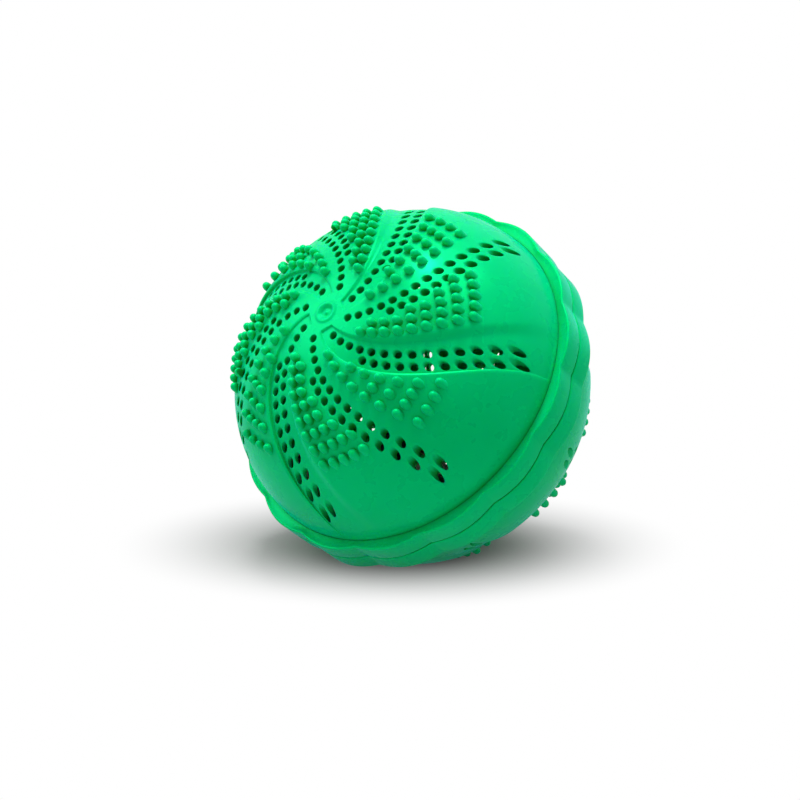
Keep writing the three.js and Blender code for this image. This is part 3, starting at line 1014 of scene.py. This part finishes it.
def reckoned(tree, operation, first_value, second_value):
    """The outcome of an operation on two values."""
    node = tree.nodes.new("ShaderNodeMath")
    node.operation = operation
    tree.links.new(first_value, node.inputs[0])
    tree.links.new(second_value, node.inputs[1])
    return node.outputs["Value"]


def seen_directly(tree):
    """1 for rays that show the background: from the camera, off gloss or through something clear."""
    rays = tree.nodes.new("ShaderNodeLightPath")
    direct = reckoned(tree, "MAXIMUM", rays.outputs["Is Camera Ray"], rays.outputs["Is Glossy Ray"])
    return reckoned(tree, "MAXIMUM", direct, rays.outputs["Is Transmission Ray"])


def white_paper():
    """Seen directly, paper darkened by a painted shadow under the ball, fading to plain white light outside
    an oval. For light that bounces, mid-grey paper."""
    material, tree = new_material("white_paper")
    coordinates = tree.nodes.new("ShaderNodeTexCoord")
    oval = tree.nodes.new("ShaderNodeMapping")
    oval.vector_type = "TEXTURE"
    oval.inputs["Location"].default_value = SHADOW_CENTRE
    oval.inputs["Rotation"].default_value = SHADOW_TURN
    oval.inputs["Scale"].default_value = SHADOW_OVAL
    tree.links.new(coordinates.outputs["Object"], oval.inputs["Vector"])
    distance = tree.nodes.new("ShaderNodeVectorMath")
    distance.operation = "LENGTH"
    tree.links.new(oval.outputs["Vector"], distance.inputs[0])
    fade = tree.nodes.new("ShaderNodeMapRange")
    fade.interpolation_type = "SMOOTHSTEP"
    fade.inputs["From Min"].default_value = SHADOW_FADE[0]
    fade.inputs["From Max"].default_value = SHADOW_FADE[1]
    tree.links.new(distance.outputs["Value"], fade.inputs["Value"])
    shown = seen_directly(tree)
    whiteness = reckoned(tree, "MULTIPLY", fade.outputs["Result"], shown)
    paper = tree.nodes.new("ShaderNodeBsdfDiffuse")
    # Painted shadow: rays seen directly get the darker paper.
    shade = tree.nodes.new("ShaderNodeMix")
    shade.data_type = "RGBA"
    shade.inputs["A"].default_value = PAPER_BOUNCE
    shade.inputs["B"].default_value = PAPER_SEEN_PAINTED_SHADOW
    tree.links.new(shown, shade.inputs["Factor"])
    tree.links.new(shade.outputs["Result"], paper.inputs["Color"])
    glow = tree.nodes.new("ShaderNodeEmission")
    blend = tree.nodes.new("ShaderNodeMixShader")
    output = tree.nodes.new("ShaderNodeOutputMaterial")
    tree.links.new(whiteness, blend.inputs["Fac"])
    tree.links.new(paper.outputs["BSDF"], blend.inputs[1])
    tree.links.new(glow.outputs["Emission"], blend.inputs[2])
    tree.links.new(blend.outputs["Shader"], output.inputs["Surface"])
    return material


floor.data.materials.append(white_paper())

# %% [markdown]
# ## Light
# Product light: a wide soft panel overhead, a small bright one beside it that draws thin highlights along
# the edges, a lower one at the front left, and an even white room. The strengths are set so that a colour
# looks about as it is written.

# %% Panels and room
ROOM_LIGHT = 0.45
SHOWN_LIGHT = 1.0
WHITE = (1.0, 1.0, 1.0, 1.0)
target = Vector(ball_centre)


def aimed(thing, azimuth, elevation, distance):
    """An object for a light or camera that looks at the ball from an azimuth a and elevation e, in degrees.
    The way back from the ball is (sin a cos e, -cos a cos e, sin e)."""
    a = np.radians(azimuth)
    e = np.radians(elevation)
    back = Vector((np.sin(a) * np.cos(e), -np.cos(a) * np.cos(e), np.sin(e)))
    holder = bpy.data.objects.new(thing.name, thing)
    holder.location = target + back * distance
    holder.rotation_euler = back.to_track_quat("Z", "Y").to_euler()
    bpy.context.scene.collection.objects.link(holder)
    return holder


def panel(name, azimuth, elevation, distance, size, power):
    """A square soft white light."""
    lamp = bpy.data.lights.new(name, "AREA")
    lamp.size = size
    lamp.energy = power
    aimed(lamp, azimuth, elevation, distance)


def plain_room(tree, strength):
    """White light of one strength from every side."""
    node = tree.nodes.new("ShaderNodeBackground")
    node.inputs["Color"].default_value = WHITE
    node.inputs["Strength"].default_value = strength
    return node.outputs["Background"]


panel("top_panel", azimuth=100.0, elevation=83.0, distance=0.8, size=0.5, power=3.5)
panel("edge_panel", azimuth=-63.0, elevation=82.0, distance=0.75, size=0.12, power=2.3)
panel("key_panel", azimuth=-56.0, elevation=42.0, distance=0.8, size=0.35, power=1.5)
world = bpy.data.worlds.new("white_room")
bpy.context.scene.world = world
world.use_nodes = True
tree = world.node_tree
tree.nodes.clear()
choice = tree.nodes.new("ShaderNodeMixShader")
tree.links.new(seen_directly(tree), choice.inputs["Fac"])
tree.links.new(plain_room(tree, ROOM_LIGHT), choice.inputs[1])
tree.links.new(plain_room(tree, SHOWN_LIGHT), choice.inputs[2])
sky = tree.nodes.new("ShaderNodeOutputWorld")
tree.links.new(choice.outputs["Shader"], sky.inputs["Surface"])
bpy.context.scene.view_settings.view_transform = "Standard"
print("lights:", [lamp.name for lamp in bpy.data.lights])

# %% [markdown]
# ## Camera
# The photograph was taken with a long lens from a little above the table. The camera looks at the centre of
# the ball, and a small lens shift puts the ball where it stands in the picture.

# %% The photographer's place
CAMERA_AZIMUTH = 40.159
CAMERA_ELEVATION = 10.598
CAMERA_DISTANCE = 0.5036
SENSOR = 36.0
PICTURE = 800.0
FOCAL_PIXELS = 1904.0
BALL_PIXEL = (411.8, 385.07)
camera_data = bpy.data.cameras.new("photo_camera")
camera_data.sensor_width = SENSOR
camera_data.lens = FOCAL_PIXELS / PICTURE * SENSOR
camera_data.shift_x = (PICTURE / 2.0 - BALL_PIXEL[0]) / PICTURE
camera_data.shift_y = (BALL_PIXEL[1] - PICTURE / 2.0) / PICTURE
camera = aimed(camera_data, CAMERA_AZIMUTH, CAMERA_ELEVATION, CAMERA_DISTANCE)
bpy.context.scene.camera = camera
print("lens:", round(camera_data.lens, 2), "mm")

# %% [markdown]
# ## Size
# The size of the finished ball, from its box, is printed. The finished ball has to stay the size of the
# imported one.

# %% Boxes and finish
low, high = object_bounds()
print("size:", [round(value, 4) for value in high - low])
